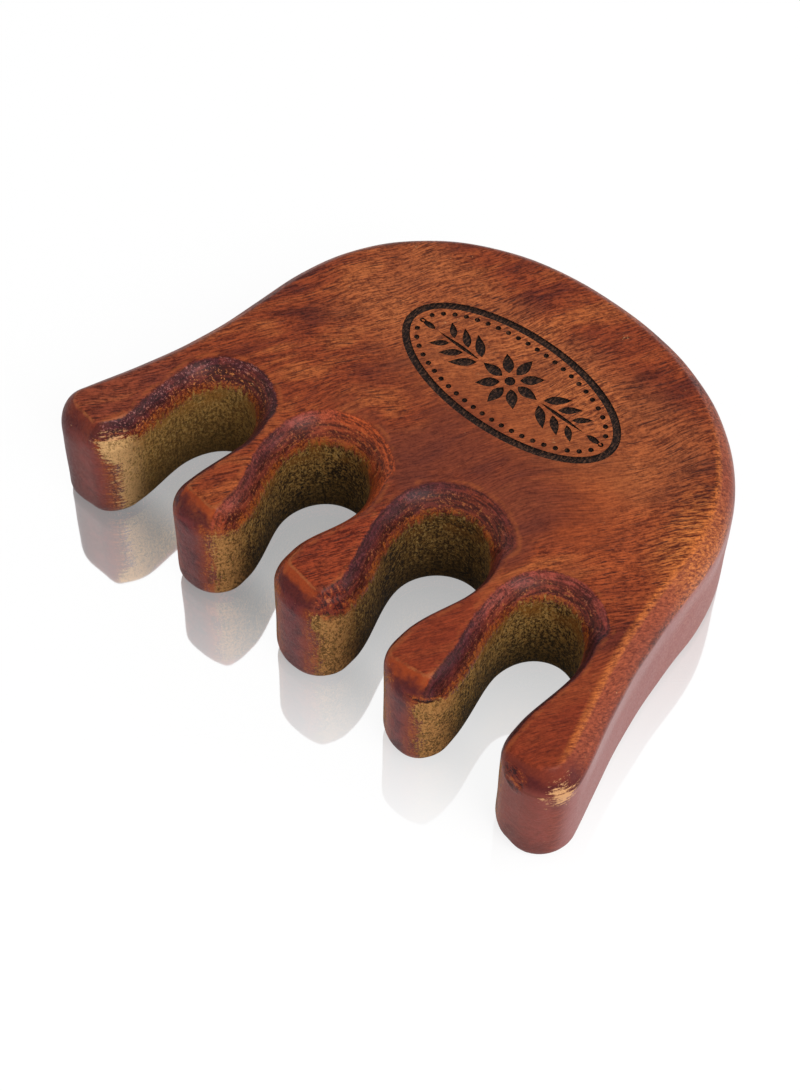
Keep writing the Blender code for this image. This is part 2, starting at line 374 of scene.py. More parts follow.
def half_outline(flank):
    """One side of the block, from the crown round the shoulder to the outer tooth's front, for x > 0."""
    power = 2.0 / BACK_FULLNESS
    shoulder_angle = math.radians(flank.shoulder_angle)
    angles = np.linspace(math.pi / 2, shoulder_angle, 91)
    across = BACK_HALF_WIDTH * np.maximum(np.cos(angles), 0.0) ** power
    along = LENGTH - BACK_HEIGHT + BACK_HEIGHT * np.sin(angles) ** power
    arc = list(np.column_stack([across, along]))
    heading = np.array([
        BACK_HALF_WIDTH * math.sin(shoulder_angle) * math.cos(shoulder_angle) ** (power - 1.0),
        -BACK_HEIGHT * math.cos(shoulder_angle) * math.sin(shoulder_angle) ** (power - 1.0),
    ])
    return arc + flank_side(arc[-1], heading / np.hypot(*heading), flank)


def block_outline():
    """Closed plan of the block, anticlockwise. Its front is the line of the tooth tips."""
    right = half_outline(RIGHT_FLANK)
    left = [point * (-1.0, 1.0) for point in half_outline(LEFT_FLANK)]
    return np.array(left + right[:0:-1])


def front_line(x):
    """The slightly slanting line from one outer tooth's tip to the other's, across the plan at x."""
    left, right = tip_of(LEFT_FLANK), tip_of(RIGHT_FLANK)
    return left[1] + (right[1] - left[1]) * (x + left[0]) / (left[0] + right[0])


def slot_centre(slot, y):
    """Slot's centre line at this distance behind the tips."""
    middle = (SLOTS.index(slot) - (len(SLOTS) - 1) / 2) * TOOTH_PITCH
    return middle + slot.mouth_off + (slot.bulb_off - slot.mouth_off) * y / slot.bulb_y


def slot_ring(slot):
    """Keyhole outline of a slot, from the right of its mouth round the bulb to the left."""
    neck = slot.neck_half_width
    mouth = (TOOTH_PITCH - TIP_FLAT) / 2
    turn = np.linspace(0.0, math.pi / 2, 17)
    wall = np.linspace(0.0, 1.0, 21)[1:]
    heights = np.concatenate([
        [-FRONT_OVERCUT], NOSE_LENGTH * (1.0 - np.cos(turn)), NECK_Y + (slot.bulb_y - NECK_Y) * wall,
    ])
    widths = np.concatenate([
        [mouth], neck + (mouth - neck) * (1.0 - np.sin(turn)),
        neck + (slot.bulb_radius - neck) * (3.0 - 2.0 * wall) * wall * wall,
    ])
    round_bulb = np.linspace(0.0, math.pi, 41)[1:-1]
    bulb_y = slot.bulb_y + BULB_LENGTH * np.sin(round_bulb)
    bulb_x = slot_centre(slot, bulb_y) + slot.bulb_radius * np.cos(round_bulb)
    right = np.column_stack([slot_centre(slot, heights) + widths, heights])
    left = np.column_stack([slot_centre(slot, heights) - widths, heights])
    ring = np.concatenate([right, np.column_stack([bulb_x, bulb_y]), left[::-1]])
    ring[:, 1] += front_line(ring[:, 0]) * np.clip(1.0 - ring[:, 1] / NECK_Y, 0.0, 1.0)
    return ring


def measure(points, ring):
    """Distance of each point from a closed ring, positive inside it, and how far along the ring it lies."""
    nearest = np.full(len(points), np.inf)
    along = np.zeros(len(points))
    inside = np.zeros(len(points), bool)
    travelled = 0.0
    for start, end in zip(ring, np.roll(ring, -1, axis=0)):
        edge = end - start
        length = math.hypot(*edge)
        away = points - start
        share = np.clip(away @ edge / length**2, 0.0, 1.0)
        gap = np.hypot(away[:, 0] - share * edge[0], away[:, 1] - share * edge[1])
        closer = gap < nearest
        nearest[closer] = gap[closer]
        along[closer] = travelled + share[closer] * length
        travelled += length
        if edge[1] != 0.0:
            beside = (start[1] > points[:, 1]) != (end[1] > points[:, 1])
            inside ^= beside & (away[:, 0] < away[:, 1] * edge[0] / edge[1])
    return np.where(inside, nearest, -nearest), along


def ease(value):
    """Smooth step from 0 to 1."""
    value = np.clip(value, 0.0, 1.0)
    return value * value * (3.0 - 2.0 * value)


def softened(first, second, softness):
    """Larger of two fields, with the ridge where they meet worn round."""
    meeting = np.maximum(softness - np.abs(first - second), 0.0)
    return np.maximum(first, second) + meeting**2 / (4.0 * softness)


def worn_edge(rise, width, depth):
    """How far a worn edge draws back from its wall at this rise above its foot: an arc about the chord."""
    chord = np.hypot(width, depth)
    tilt = np.arctan2(depth, width)
    radius = chord / (2.0 * math.sin(FLARE_BEND))
    across = radius * np.sin(tilt + FLARE_BEND)
    height = -radius * np.cos(tilt + FLARE_BEND)
    on_arc = np.clip(rise, 0.0, depth)
    lean = 1.0 / np.tan(tilt - FLARE_BEND)
    drawn = across - np.sqrt(np.maximum(radius**2 - (on_arc - height) ** 2, 0.0))
    return drawn + np.maximum(rise - depth, 0.0) * lean


def flat_start(x):
    """How far behind the front the flat top starts, in a straight line across each tooth."""
    middle = (len(FLAT_STARTS) - 1) // 2
    tooth = np.clip(np.rint(x / TOOTH_PITCH).astype(int), -middle, middle)
    share = np.clip(0.5 + (x - tooth * TOOTH_PITCH) / (2.0 * FLAT_HALF_WIDTH), 0.0, 1.0)
    left, right = np.array(FLAT_STARTS)[tooth + middle].T
    return left + (right - left) * share


def evened(inset, flat, width):
    """Distance into the wood, evened out so that the flat top starts one width in from the wall all round."""
    share = inset / (np.maximum(inset, 0.0) + np.maximum(-flat, 0.001 * MM))
    return width * share + np.maximum(flat, 0.0)


def waviness(x, y, z):
    """Slow unevenness of a surface that was sanded by hand, from 0 to 1."""
    total = 0.0
    for wave, (a, b, c, shift) in enumerate(WAVES):
        total = total + np.sin(x * a + y * b + z * c + shift + wave)
    return 0.5 + total / (2.0 * len(WAVES))


def chipping(x, y, z):
    """How deep the wood is chipped away round its knots."""
    depth = 0.0
    for middle_x, middle_y, middle_z, reach in CHIPPED:
        gap = np.sqrt((x - middle_x) ** 2 + (y - middle_y) ** 2 + (z - middle_z) ** 2)
        one, two, three = (np.sin(x * a + y * b + z * c + shift) for a, b, c, shift in CHIP_WAVES)
        chips = np.clip(one * two + 0.5 * three, 0.0, 1.0)
        depth = depth + CHIP_DEPTH * ease(1.3 - 1.3 * gap / reach) * chips
    return depth


class CombPlan:
    """Plan of the comb measured at some points.

    It holds their distances into the wood from the block's rim and from each slot, the facet along the rim,
    where the flat top starts, and how far they lie beside a slot or along the right flank, from 0 to 1.
    """

    def __init__(self, points):
        x, y = points.T
        self.points = points
        self.rim, _ = measure(points, block_outline())
        front = ease(1.0 - y / FACET_REACH)
        self.across = RIM_FACET[0] + (flat_start(x) - RIM_FACET[0]) * front
        self.drop = RIM_FACET[1] + (FRONT_DROP - RIM_FACET[1]) * front
        self.slots = []
        for slot in SLOTS:
            ring = slot_ring(slot)
            close = ((points > ring.min(0) - SLOT_REACH) & (points < ring.max(0) + SLOT_REACH)).all(1)
            depth = np.full(len(points), SLOT_REACH)
            along = np.zeros(len(points))
            inside, along[close] = measure(points[close], ring)
            depth[close] = -inside
            straight = np.abs(x - slot_centre(slot, y)) - slot.neck_half_width
            flare = self.flare(slot)
            past_ridge = np.where(y < NECK_Y, straight, depth) - flare
            drop = FLARE_DEPTH + (slot.crest_depth - FLARE_DEPTH) * self.over(slot)
            self.slots.append((depth, along, drop, flare, past_ridge))
        self.wall = np.minimum.reduce([slot[0] for slot in self.slots])
        self.ridge = np.minimum.reduce([slot[-1] for slot in self.slots])
        self.inset = np.minimum(self.rim, self.wall)
        self.flat = -softened(self.across - self.rim, -self.ridge, CORNER_SOFTNESS)
        self.beside_slot = ease(0.5 + (self.rim - self.wall) / (2.0 * NOSE_BLEND))
        self.flank = ease((x - FLANK_START) / FLANK_FADE) * ease((FLANK_BACK - y) / FLANK_BACK_FADE)

    def left_of(self, slot):
        """1 on the left side of a slot, and 0 on its right."""
        x, y = self.points.T
        return ease(0.5 - (x - slot_centre(slot, y)) / (2.0 * slot.neck_half_width))

    def flare(self, slot):
        """Width of a slot's flare beside each point: its own on the left, over the bulb and on the right."""
        nose_flare = NOSE_FLARES[SLOTS.index(slot)]
        in_nose = ease((NECK_Y - self.points[:, 1]) / NOSE_LENGTH)
        left = slot.left_flare + (nose_flare - slot.left_flare) * in_nose
        beside = slot.right_flare + (left - slot.right_flare) * self.left_of(slot)
        return beside + (slot.crest_flare - beside) * self.over(slot)

    def over(self, slot):
        """1 behind a slot's bulb and 0 beside it, falling slowly round its left and fast round its right."""
        return ease((self.points[:, 1] - slot.bulb_y) / BULB_LENGTH) ** (5.0 - 4.0 * self.left_of(slot))

    def field(self, z):
        """Field of the carved comb, negative in the wood, at each point's height or at a row of heights."""
        def fit(values):
            return values if z.shape == values.shape else values[:, None]

        x, y = fit(self.points[:, 0]), fit(self.points[:, 1])
        drawn_in = HAND_WAVES * waviness(x, y, z)
        inset = fit(self.inset) - drawn_in
        across, drop = fit(self.across), fit(self.drop)
        off_facet = across - fit(evened(self.inset, self.flat, self.across)) + drawn_in
        facet = (off_facet * drop + (z - THICKNESS) * across) / np.hypot(across, drop)
        soft = FACET_SOFT + (FLANK_SOFT - FACET_SOFT) * fit(self.flank)
        rounded_top = softened(softened(z - THICKNESS, facet, FACET_CRISP), -inset, soft)
        flared_top = z - THICKNESS + 0.0 * inset
        for depth, _, flare_drop, flare, past_ridge in self.slots:
            drawn = worn_edge(z - (THICKNESS - fit(flare_drop)), fit(flare), fit(flare_drop))
            flat = -softened(self.across - self.rim, -past_ridge, CORNER_SOFTNESS)
            inward = evened(np.minimum(depth, self.rim), flat, flare)
            flared_top = softened(flared_top, drawn - fit(inward) + drawn_in, RIDGE_SOFTNESS)
        top = rounded_top + (flared_top - rounded_top) * fit(self.beside_slot)
        top = top + chipping(x, y, z)
        foot = FOOT_ROUND + (SLOT_FOOT_ROUND - FOOT_ROUND) * fit(self.beside_slot)
        return np.maximum(top, rounded(foot - inset, foot - z, foot))


def rounded(across, up, radius):
    """Field of an edge's round."""
    beyond = np.hypot(np.maximum(across, 0.0), np.maximum(up, 0.0))
    return beyond + np.minimum(np.maximum(across, up), 0.0) - radius


def skin(field, corner, step):
    """Closed quad mesh on the zero level of a sampled field that is negative in the wood."""
    wood = field < 0
    cells = tuple(n - 1 for n in field.shape)
    filled = sum(
        wood[i:i + cells[0], j:j + cells[1], k:k + cells[2]].astype(int)
        for i, j, k in itertools.product((0, 1), repeat=3)
    )
    mixed = (filled > 0) & (filled < 8)
    index = np.full(cells, -1)
    index[mixed] = np.arange(mixed.sum())
    base = np.argwhere(mixed)
    total = np.zeros((len(base), 3))
    count = np.zeros(len(base))
    for axis in range(3):
        unit = np.eye(3, dtype=int)[axis]
        for shift in itertools.product((0, 1), repeat=2):
            start = base + np.insert(shift, axis, 0)
            here = field[tuple(start.T)]
            there = field[tuple((start + unit).T)]
            crossed = (here < 0) != (there < 0)
            share = here[crossed] / (here[crossed] - there[crossed])
            total[crossed] += start[crossed] + share[:, None] * unit
            count[crossed] += 1
    quads = []
    for axis in range(3):
        one, two = np.eye(3, dtype=int)[(axis + 1) % 3], np.eye(3, dtype=int)[(axis + 2) % 3]
        low = wood.take(range(cells[axis]), axis)
        high = wood.take(range(1, cells[axis] + 1), axis)
        for leaving in (True, False):
            edges = np.argwhere((low == leaving) & (high != leaving))
            around = [edges, edges - one, edges - one - two, edges - two]
            ring = np.stack([index[tuple(c.T)] for c in around], 1)
            quads.append(ring if leaving else ring[:, ::-1])
    return corner + step * total / count[:, None], np.concatenate(quads)


def settle(points, corner, step, gradient):
    """Moves the skin's points onto the exact field, along its slopes at the nearest grid nodes."""
    for _ in range(SETTLE_ROUNDS):
        node = np.rint((points - corner) / step).astype(int)
        slope = gradient[tuple(node.T)]
        height = CombPlan(points[:, :2]).field(points[:, 2])
        move = height[:, None] * slope / np.maximum((slope**2).sum(1), LEAST_SLOPE)[:, None]
        points = points - np.clip(move, -SETTLE_REACH * step, SETTLE_REACH * step)
    return points


def plan_origin():
    """Where the frame's origin lies in the plan: under the middle of the block's bounding box."""
    outline = block_outline()
    return np.append((outline.min(0) + outline.max(0)) / 2, 0.0)


def carve_body():
    """Skin of the whole comb, in the plan's own coordinates."""
    outline = block_outline()
    low = np.append(outline.min(0), 0.0) - MARGIN_BELOW
    high = np.append(outline.max(0), THICKNESS) + MARGIN_ABOVE
    counts = np.ceil((high - low) / SKIN_STEP).astype(int) + 1
    x, y, z = (low[i] + SKIN_STEP * np.arange(counts[i]) for i in range(3))
    plan = np.stack(np.meshgrid(x, y, indexing="ij"), -1).reshape(-1, 2)
    field = CombPlan(plan).field(z[None, :]).reshape(counts)
    points, quads = skin(field, low, SKIN_STEP)
    gradient = np.stack(np.gradient(field, SKIN_STEP), -1)
    return settle(points, low, SKIN_STEP, gradient), quads


def add_object(name, points, faces):
    """New object that holds a mesh."""
    mesh = bpy.data.meshes.new(name)
    mesh.from_pydata(points.tolist(), [], faces.tolist())
    obj = bpy.data.objects.new(name, mesh)
    bpy.context.scene.collection.objects.link(obj)
    return obj


def toward(azimuth, elevation):
    """Direction from the comb to what stands at this azimuth and elevation, in degrees."""
    azimuth, elevation = math.radians(azimuth), math.radians(elevation)
    level = math.cos(elevation)
    return Vector((math.sin(azimuth) * level, -math.cos(azimuth) * level, math.sin(elevation)))


def set_camera():
    """Camera at the photograph's viewing angle."""
    turn = Matrix.Rotation(math.radians(CAMERA_AZIMUTH), 4, "Z")
    tilt = Matrix.Rotation(math.radians(90.0 - CAMERA_ELEVATION), 4, "X")
    place = turn @ tilt @ Matrix.Rotation(math.radians(CAMERA_ROLL), 4, "Z")
    place.translation = Vector(CAMERA_TARGET) + toward(CAMERA_AZIMUTH, CAMERA_ELEVATION) * CAMERA_DISTANCE
    data = bpy.data.cameras.new("camera")
    data.lens = CAMERA_LENS
    data.clip_start = CAMERA_CLIP_START
    camera = bpy.data.objects.new("camera", data)
    bpy.context.scene.collection.objects.link(camera)
    camera.matrix_world = place
    bpy.context.scene.camera = camera


class Value:
    """An output socket. Arithmetic on it adds Math nodes."""

    def __init__(self, nodes, socket):
        self.nodes = nodes
        self.socket = socket

    def math(self, operation, *values):
        return self.nodes.add("ShaderNodeMath", {"operation": operation}, dict(enumerate(values)))

    def __add__(self, other):
        return self.math("ADD", self, other)

    def __sub__(self, other):
        return self.math("SUBTRACT", self, other)

    def __rsub__(self, other):
        return self.math("SUBTRACT", other, self)

    def __mul__(self, other):
        return self.math("MULTIPLY", self, other)

    def __truediv__(self, other):
        return self.math("DIVIDE", self, other)

    __radd__ = __add__
    __rmul__ = __mul__

    def __abs__(self):
        return self.math("ABSOLUTE", self)

    def at_least(self, other):
        return self.math("MAXIMUM", self, other)


class Nodes:
    """Nodes of one material, world or geometry tree."""

    def __init__(self, tree):
        self.tree = tree

    def add(self, kind, settings=None, sockets=None, output=0):
        """Adds a node of any type. Settings come first, then the values or links of its sockets."""
        node = self.tree.nodes.new(kind)
        for name, value in (settings or {}).items():
            setattr(node, name, value)
        for name, value in (sockets or {}).items():
            self.feed(node.inputs[name], value)
        return Value(self, node.outputs[output])

    def feed(self, socket, value):
        """Links a value to a socket, or sets the socket to a number, colour or vector."""
        if isinstance(value, Value):
            self.tree.links.new(value.socket, socket)
        elif socket.type == "RGBA":
            socket.default_value = (*value, 1.0)
        else:
            socket.default_value = value

    def mix(self, share, first, second, blend="MIX"):
        """Colour between two colours."""
        settings = {"data_type": "RGBA", "blend_type": blend}
        return self.add("ShaderNodeMix", settings, {0: share, 6: first, 7: second}, 2)

    def layered(self, colour, *layers):
        """Colour with other colours laid over it, each with its share."""
        for share, over in layers:
            colour = self.mix(share, colour, over)
        return colour

    def toned(self, colour, share, tones):
        """Colour multiplied by the tone that lies at this share between two tones."""
        return self.mix(1.0, colour, self.mix(share, *tones), "MULTIPLY")

    def between(self, value, low, high, first=0.0, second=1.0):
        """Smooth step of a value from first at low to second at high."""
        sockets = {0: value, 1: low, 2: high, 3: first, 4: second}
        return self.add("ShaderNodeMapRange", {"interpolation_type": "SMOOTHSTEP"}, sockets)

    def vector(self, x, y, z):
        """Vector from its parts."""
        return self.add("ShaderNodeCombineXYZ", None, {0: x, 1: y, 2: z})

    def parts(self, vector):
        """The three parts of a vector."""
        node = self.add("ShaderNodeSeparateXYZ", None, {0: vector}).socket.node
        return [Value(self, output) for output in node.outputs]

    def noise(self, vector, scale, detail, roughness, distortion=0.0):
        """Noise of about one feature per unit at scale 1, from 0 to 1."""
        sockets = {"Vector": vector, "Scale": scale, "Detail": detail, "Roughness": roughness}
        return self.add("ShaderNodeTexNoise", None, {**sockets, "Distortion": distortion})

    def streaks(self, vector, scales, detail, roughness, distortion=0.0, turn=UNTURNED, shift=UNMOVED):
        """Noise with its own scale along each axis, in a space that is turned and shifted."""
        place = self.add("ShaderNodeMapping", None, {0: vector, 1: shift, 2: turn, 3: scales})
        return self.noise(place, 1.0, detail, roughness, distortion)

    def bump(self, height, distance):
        """Normal raised by a height from 0 to 1 over this distance in metres."""
        return self.add("ShaderNodeBump", None, {"Height": height, "Distance": distance})

    def place_in_comb(self):
        """Place in the comb, in millimetres."""
        place = self.add("ShaderNodeTexCoord", None, None, "Object")
        return self.add("ShaderNodeVectorMath", {"operation": "SCALE"}, {0: place, "Scale": 1.0 / MM})


class WoodNodes(Nodes):
    """Nodes of the stained wood, with the place in the comb and the body's measures that its colours follow."""

    def __init__(self, tree):
        super().__init__(tree)
        self.mm = self.place_in_comb()
        self.right, ahead, self.height = self.parts(self.mm)
        self.behind = ahead + plan_origin()[1] / MM
        for name in MEASURES:
            setattr(self, name, self.add("ShaderNodeAttribute", {"attribute_name": name}, None, 2))
        self.round_slot = self.vector(self.along, self.height, 0.0)
        self.round_flare = self.vector(self.along, self.ridge, 0.0)
        self.coarse = self.noise(self.mm, 0.35, 3.0, 0.6)
        self.fine = self.noise(self.mm, 2.4, 2.0, 0.85)

    def zone(self, name):
        """1 in a named zone, falling softly to 0 around it."""
        steps = [self.between(getattr(self, measure), none, full) for measure, none, full in ZONES[name]]
        return math.prod(steps[1:], start=steps[0])


def new_material(name, kind=Nodes):
    """New material and its nodes."""
    material = bpy.data.materials.new(name)
    material.use_nodes = True
    return material, kind(material.node_tree)


def figured_wood(nodes):
    """Colour of the stained wood with its dark bands, fibres and pores, then the fibres and the pores."""
    drift = nodes.add("ShaderNodeTexNoise", None, {"Vector": nodes.mm, "Scale": 0.03, "Detail": 2.0}, "Color")
    drift = nodes.add(
        "ShaderNodeVectorMath", {"operation": "MULTIPLY_ADD"}, {0: drift, 1: GRAIN_DRIFT, 2: nodes.mm}
    )
    grain = nodes.add("ShaderNodeMapping", None, {0: drift, 2: (0.0, 0.0, -GRAIN_TURN)})
    band = nodes.streaks(grain, (0.042, 0.20, 0.12), 3.0, 0.6, distortion=0.6)
    cloud = nodes.noise(nodes.mm, 0.075, 3.0, 0.55)
    fibre = nodes.streaks(grain, (0.42, 3.4, 2.0), 3.0, 0.65)
    hair = nodes.streaks(grain, (0.70, 4.6, 3.0), 2.0, 0.65, turn=(0.0, 0.0, 0.12))
    ripple = nodes.streaks(grain, (0.9, 4.2, 2.0), 2.0, 0.6, turn=(0.0, 0.0, -0.75))
    grit = nodes.noise(nodes.mm, 2.1, 2.0, 0.85)
    pore = nodes.streaks(grain, (0.40, 3.6, 2.0), 1.0, 0.5, shift=(3.1, 7.7, 0.0))

    figure = band * 0.6 + cloud * 0.4
    russet, slope, smooth_teeth = nodes.zone("russet"), nodes.zone("slope"), nodes.zone("smooth teeth") * 0.9
    calm = nodes.zone("calm") * nodes.between(cloud, 0.62, 0.46)
    calm = calm.at_least(slope * 0.9).at_least(smooth_teeth)
    dusky = calm * (1.0 - slope) * (1.0 - smooth_teeth) * nodes.zone("dusky") * (1.0 - russet)
    wood = nodes.layered(
        DEEP_RED,
        (nodes.between(figure, 0.37, 0.51), RED_BROWN),
        (nodes.between(figure, 0.49, 0.64, 0.0, 0.8), ORANGE_BROWN),
        (nodes.zone("sunny") * nodes.between(cloud, 0.36, 0.60, 0.50, 0.75), SUNNY),
        (russet * 0.45, RUSSET),
        (nodes.zone("teeth") * 0.7, TOOTH_RED),
        (nodes.zone("left tooth") * 0.5, LEFT_TOOTH),
        (slope * 0.85, nodes.mix(fibre, *SLOPE_COLOURS)),
        (nodes.zone("shoulder") * nodes.between(fibre * 0.6 + hair * 0.4, 0.40, 0.60, 0.10, 0.8), SHOULDER),
        # Paler orange line at the right flank's top edge, partly worn stain and partly a painted highlight
        (nodes.zone("edge") * nodes.between(fibre, 0.36, 0.58, 0.35, 0.8), RIM_EDGE_WEAR_AND_HIGHLIGHT),
        (dusky * 0.60, DUSKY),
    )
    strokes = fibre * 0.42 + hair * 0.22 + grit * 0.24 + ripple * 0.12
    strokes = nodes.between(strokes, 0.40 - calm * 0.12, 0.60 + calm * 0.12)
    wood = nodes.toned(wood, strokes, FIBRE_TONES)
    pores = nodes.between(pore, 0.63, 0.72, 0.0, 0.8) * (1.0 - calm * 0.7)
    return nodes.mix(pores, wood, PORE), strokes, pores


def flared_wood(nodes):
    """Burgundy to orange colour of the worn flares, sanded along their curve, with pale pink painted glints and
    orange specks, and its speckle.
    """
    blotch = nodes.noise(nodes.mm, 0.35, 4.0, 0.65, 0.4)
    speck = nodes.noise(nodes.mm, 2.5, 2.0, 0.9)
    spark = nodes.streaks(nodes.mm, (0.9, 2.6, 2.6), 2.0, 0.8, turn=(0.0, 0.0, 0.7))
    sanded = nodes.streaks(nodes.round_flare, (0.30, 2.6, 1.0), 2.0, 0.65)
    flare = nodes.mix(nodes.between(nodes.dark + (blotch - 0.5) * 1.6, 0.15, 0.85), *FLARE_COLOURS)
    glow = nodes.between(nodes.warm + (blotch - 0.5) * 0.8, 0.15, 0.85)
    flare = nodes.mix(glow * 0.85, flare, FLARE_GLOW)
    low = nodes.between(nodes.ridge + (blotch - 0.5) * 2.0, -0.8, -1.8)
    flare = nodes.mix(low * 0.55, flare, FLARE_FOOT)
    grainy = speck * 0.35 + spark * (0.25 - low * 0.15) + sanded * (0.40 + low * 0.15)
    grainy = nodes.between(grainy, 0.41, 0.60)
    flare = nodes.toned(flare, grainy, FLARE_TONES)
    # Painted glints: pale specks, pink where the flare is dark and orange where it is low or warm, most on the
    # leftmost slot's flares
    pale = nodes.between(speck * 0.5 + spark * 0.5, 0.55, 0.61)
    pale = pale * (nodes.between(nodes.right, -20.0, -30.0, 0.10, 0.60) + low * 0.35)
    pale = pale * (1.0 - nodes.between(nodes.dark, 0.9, 1.2, 0.0, 0.8))
    return nodes.mix(pale, flare, nodes.mix(low.at_least(glow), *SPECK_AND_GLINT_COLOURS)), grainy


def raw_wood(nodes):
    """Colour of the bare slot walls, with painted shade that darkens them toward the foot, sandy at the noses,
    then texture and pits.
    """
    line = nodes.streaks(nodes.round_slot, (2.0, 0.16, 1.0), 3.0, 0.65)
    pit = nodes.streaks(nodes.round_slot, (1.3, 1.6, 1.0), 2.0, 0.6)
    pit_patch = nodes.streaks(nodes.round_slot, (0.14, 0.18, 1.0), 1.0, 0.5)
    grit = nodes.streaks(nodes.mm, (2.3, 2.3, 1.7), 2.0, 0.9)
    dust = nodes.streaks(nodes.mm, (2.2, 2.2, 1.7), 1.0, 0.8, shift=(5.0, 2.0, 1.0))
    patch = nodes.noise(nodes.mm, 0.30, 3.0, 0.6)
    texture = nodes.between(line * 0.30 + grit * 0.70, 0.43, 0.58)
    in_middle = nodes.zone("raw middle")
    pitted = nodes.between(pit + (pit_patch - 0.5) * 0.7, 0.60, 0.67) * (0.12 + 0.88 * in_middle)
    sandy = grit * 0.65 + patch * 0.35 + nodes.between(nodes.right, -30.0, -34.0) * 0.05
    sandy = nodes.between(sandy, 0.42, 0.56, 0.22, 1.0) * nodes.zone("raw nose")
    raw = nodes.layered(
        nodes.mix(texture, *RAW_COLOURS),
        # Painted shade: the bare walls darken from mid height down to the foot
        (nodes.between(nodes.height, 15.0, 1.0, 0.0, 0.75), RAW_FOOT_SHADE),
        (nodes.between(nodes.height, 12.5, 16.5) * nodes.between(patch, 0.40, 0.62), RAW_TOP),
        (nodes.zone("raw left") * 0.30, RAW_LEFT),
        (nodes.zone("second bulb") * in_middle * 0.25 + in_middle * 0.20, RAW_MIDDLE),
        (nodes.between(dust, 0.57, 0.65, 0.0, 0.45), DARK_GRIT),
        (nodes.between(dust, 0.42, 0.34, 0.0, 0.5) * nodes.between(nodes.height, 2.0, 9.0), PALE_GRIT),
        (pitted * 0.9, PIT),
        (sandy, nodes.mix(nodes.between(nodes.right, -32.0, -20.0), *SAND_COLOURS)),
    )
    return raw, texture, pitted


def tipped(nodes, wood):
    """Wood with the darker flats that slant down to the tooth tips."""
    at_tip = nodes.zone("tip") * (1.0 - nodes.zone("low wall"))
    chamfer = nodes.between(nodes.flat + (nodes.fine - 0.5) * 0.5, 0.10, -0.30) * at_tip
    tip = nodes.mix(nodes.between(abs(nodes.right), 30.0, 36.0), *TIP_COLOURS)
    tip = nodes.mix(nodes.between(nodes.flat + (nodes.coarse - 0.5) * 3.5, -0.5, -1.7), tip, TIP_FRONT)
    return nodes.mix(chamfer * 0.85, wood, nodes.toned(tip, nodes.fine, TIP_TONES))


def edged(nodes, wood):
    """Wood with a paler edge where the flat tops meet the slanting tips."""
    edge = nodes.between(abs(nodes.flat + (nodes.fine - 0.5) * 0.5), 0.26, 0.06) * nodes.zone("near tip")
    edge = edge * nodes.between(nodes.coarse, 0.40, 0.56, 0.2, 1.0) * nodes.zone("not last tip")
    return nodes.mix(edge * 0.55, wood, TIP_EDGE)


def fronted(nodes, wood):
    """Wood with the smoky, darker fronts of the teeth, and painted shade that darkens them toward the foot."""
    smoke = nodes.noise(nodes.mm, 0.45, 4.0, 0.65, 0.8)
    left = nodes.zone("far left front") * 0.5 + nodes.zone("left front") * 0.3
    front = nodes.layered(
        nodes.mix(nodes.between(smoke * 0.7 + nodes.fine * 0.3, 0.38, 0.62), *FRONT_COLOURS),
        (nodes.zone("right front") * 0.6, RIGHT_FRONT),
        (left, nodes.mix(nodes.zone("dark left front"), *LEFT_FRONT_COLOURS)),
        # Painted shade: the fronts darken toward the foot
        (nodes.between(nodes.height + (smoke - 0.5) * 8.0, 9.0, 1.0) * 0.5, FRONT_FOOT_SHADE),
        (nodes.between(nodes.bare + (smoke - 0.5) * 3.0, -3.6, -1.2) * 0.75, FRONT_GLOW),
    )
    return nodes.mix(nodes.zone("front") * 0.9, wood, front)


def flanked(nodes, wood):
    """Wood with the waxed wall of the right flank under a painted sheen, an even pale mauve haze over the stain,
    and the seam above it.
    """
    streak = nodes.streaks(nodes.mm, (0.5, 0.5, 2.2), 3.0, 0.7)
    # Painted sheen: an even pale mauve haze over the right flank's wall
    wood = nodes.mix(nodes.zone("painted sheen wall") * 0.9, wood, nodes.mix(streak, *SIDE_WALL_SHEEN_COLOURS))
    seam = nodes.between(abs(nodes.height - 17.5), 0.35, 0.10) * nodes.zone("seam")
    return nodes.mix(seam * 0.6, wood, SEAM)


def chipped_wood(nodes, wood):
    """Wood with its chipped knots, and the share and height of their splinters."""
    splinter = nodes.streaks(nodes.mm, (0.60, 1.3, 1.1), 3.0, 0.75, 0.3, (0.3, 0.0, 0.5))
    rough_spot = nodes.between(nodes.chipped + (nodes.coarse - 0.5) * 0.9, 0.40, 0.62)
    splinters = nodes.mix(nodes.between(splinter, 0.44, 0.50), *SPLINTER_COLOURS)
    splinters = nodes.mix(nodes.between(splinter, 0.57, 0.62), splinters, SPLINTER_EDGE)
    return nodes.mix(rough_spot * 0.8, wood, splinters), rough_spot * splinter


def crack_in_tip(nodes):
    """1 in the hair crack under the fourth tooth's tip, which is widest at its left."""
    gap = abs(nodes.height - 17.6 + (nodes.coarse - 0.5) * 2.4 + (nodes.fine - 0.5) * 0.9)
    width = 0.05 + nodes.between(nodes.right, 23.0, 24.5) * 0.35
    return nodes.between(gap, width, 0.0) * nodes.zone("crack")


